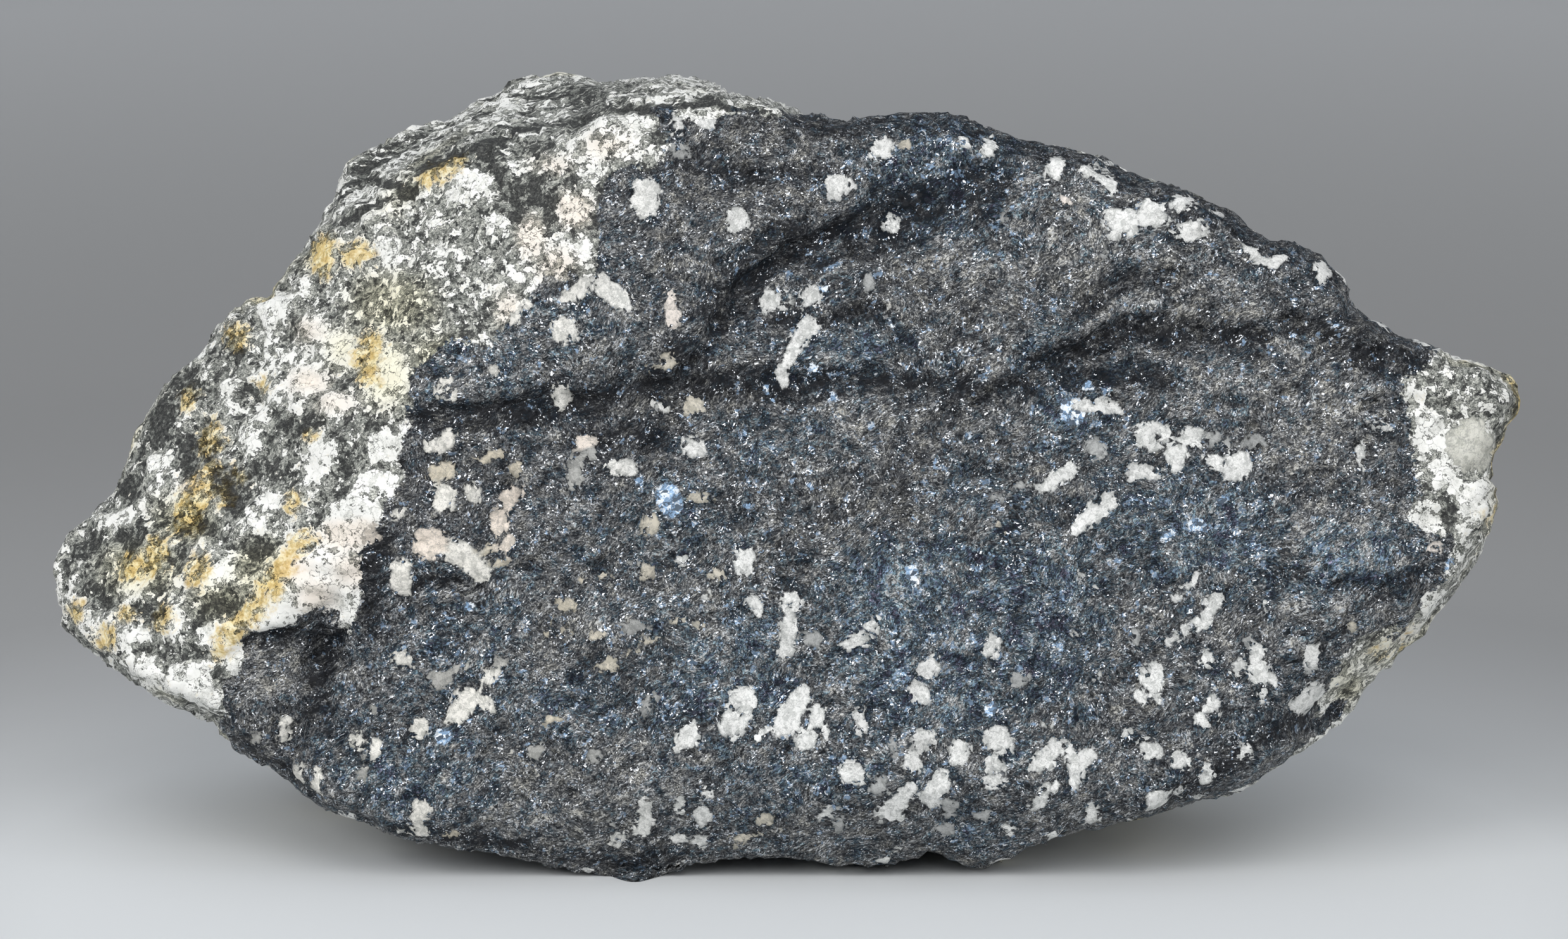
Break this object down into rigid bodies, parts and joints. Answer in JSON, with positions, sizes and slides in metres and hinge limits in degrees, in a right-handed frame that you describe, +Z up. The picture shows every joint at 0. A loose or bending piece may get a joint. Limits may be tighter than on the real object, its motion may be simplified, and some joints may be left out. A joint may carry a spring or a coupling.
{
  "type": "peacock ore",
  "caption": "Broken hand specimen of tarnished copper ore: a long leaf-shaped stone with a broad rough face, a banded ridge and a flat spot it stands on.",
  "frame": {"origin": "middle of the stone's box in plan, on the surface the stone rests on", "axes": "+Z up, +X along the stone's length to the right as its broad ore face is seen, +Y into the stone from that face"},
  "size_m": [0.1166, 0.0514, 0.0604],
  "materials": {
    "ore": "rough broken ore, dark blue-grey with bright metallic glints, white grains and pale ochre-stained host rock"
  },
  "bodies": {
    "root": {"peacock_ore": "ore"}
  },
  "joints": []
}
